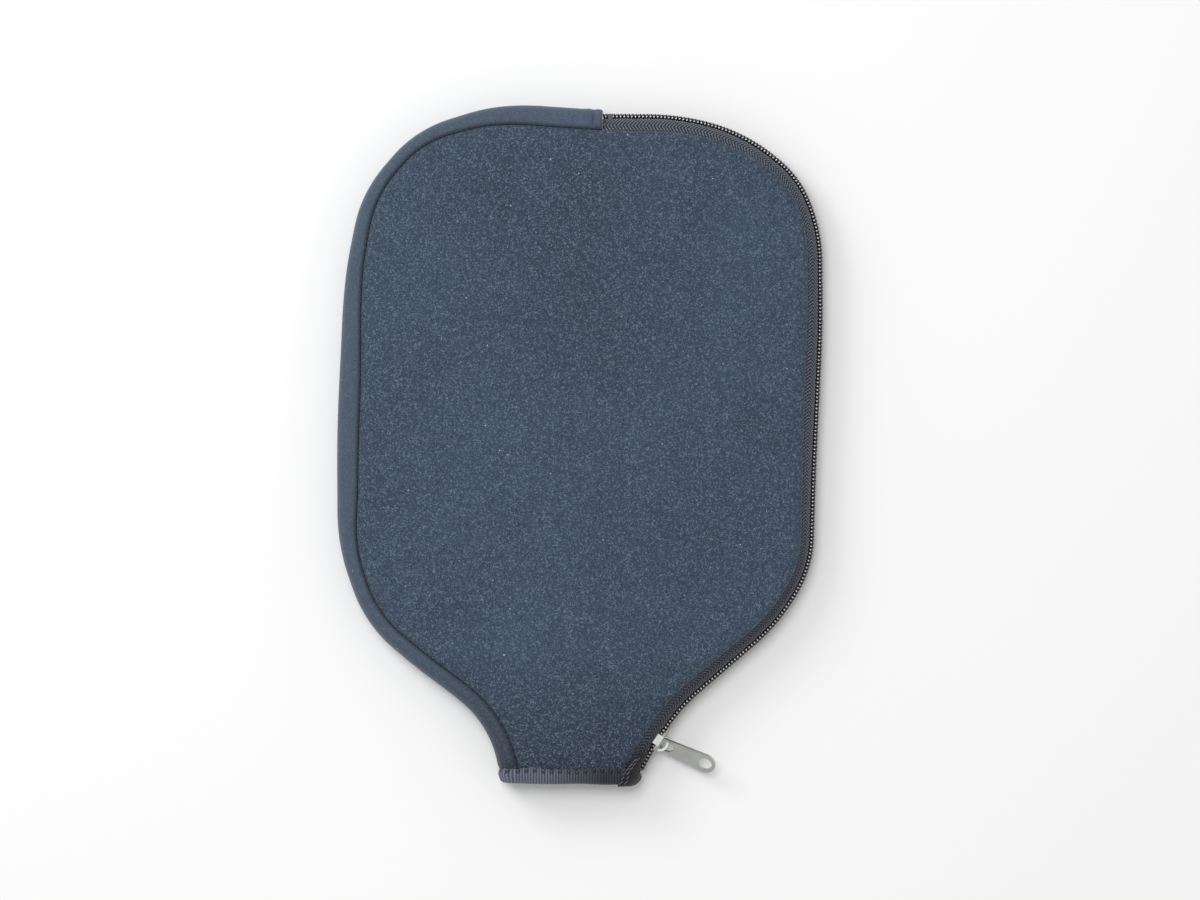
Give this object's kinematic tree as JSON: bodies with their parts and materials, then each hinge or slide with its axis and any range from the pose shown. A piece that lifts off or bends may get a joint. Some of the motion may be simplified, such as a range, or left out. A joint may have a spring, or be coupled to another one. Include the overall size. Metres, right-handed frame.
{
  "type": "paddle case",
  "caption": "Soft neoprene case shaped like a paddle head and throat, open at the neck for the handle, with a zip round one side and a folding front flap.",
  "frame": {"origin": "under the middle of the case, on the plane that the back panel rests on", "axes": "+Z out through the front panel, +Y from the open mouth to the round top, +X towards the zip side"},
  "size_m": [0.2095, 0.292, 0.02],
  "materials": {
    "neoprene_panel": "knit-faced neoprene, slate blue, matt",
    "neoprene_gusset": "smoother knit-faced neoprene, slate blue",
    "seam_tape": "thin woven nylon strip",
    "zip_tape": "herringbone-woven polyester",
    "zip_coil": "black monofilament",
    "filler_cord": "twisted yarn",
    "stop_plastic": "moulded black",
    "slider_metal": "nickel-plated zinc",
    "pull_metal": "nickel-plated zinc, lightly scuffed",
    "mouth_elastic": "ribbed elastic",
    "thread": "spun polyester sewing thread"
  },
  "bodies": {
    "case": {"back_panel": "neoprene_panel", "front_panel_fixed": "neoprene_panel", "side_gusset": "neoprene_gusset", "gusset_binding_front": "seam_tape", "gusset_binding_back": "seam_tape", "zip_binding_back": "seam_tape", "zip_tape_back": "zip_tape", "zip_coil_back": "zip_coil", "coil_cord_back": "filler_cord", "zip_end_stop": "stop_plastic", "zip_top_stop_back": "stop_plastic", "mouth_binding_back": "mouth_elastic", "mouth_thread_back": "thread", "gusset_thread_front": "thread", "gusset_thread_back": "thread", "zip_thread_back": "thread", "hem_thread": "thread"},
    "front_flap": {"front_panel_flap": "neoprene_panel", "zip_binding_front": "seam_tape", "zip_tape_front": "zip_tape", "zip_coil_front": "zip_coil", "coil_cord_front": "filler_cord", "zip_top_stop_front": "stop_plastic", "mouth_binding_front": "mouth_elastic", "mouth_thread_front": "thread", "zip_thread_front": "thread"},
    "slider": {"slider_body": "slider_metal"},
    "pull": {"slider_pull": "pull_metal"}
  },
  "joints": [
    {"name": "flap_open", "type": "hinge", "parent": "case", "child": "front_flap", "pos_m": [0.0098, 0.1358, 0.021], "axis": [-0.1115, -0.9938, 0], "range_deg": [0, 150]},
    {"name": "slider_travel", "type": "hinge", "parent": "case", "child": "slider", "pos_m": [0.12223, -0.18685, 0.01], "axis": [0, 0, -1], "range_deg": [0, 15]},
    {"name": "pull_swing", "type": "hinge", "parent": "slider", "child": "pull", "pos_m": [0.03547, -0.12867, 0.01], "axis": [0.662, 0.1171, 0.7403], "range_deg": [0, 84]}
  ]
}
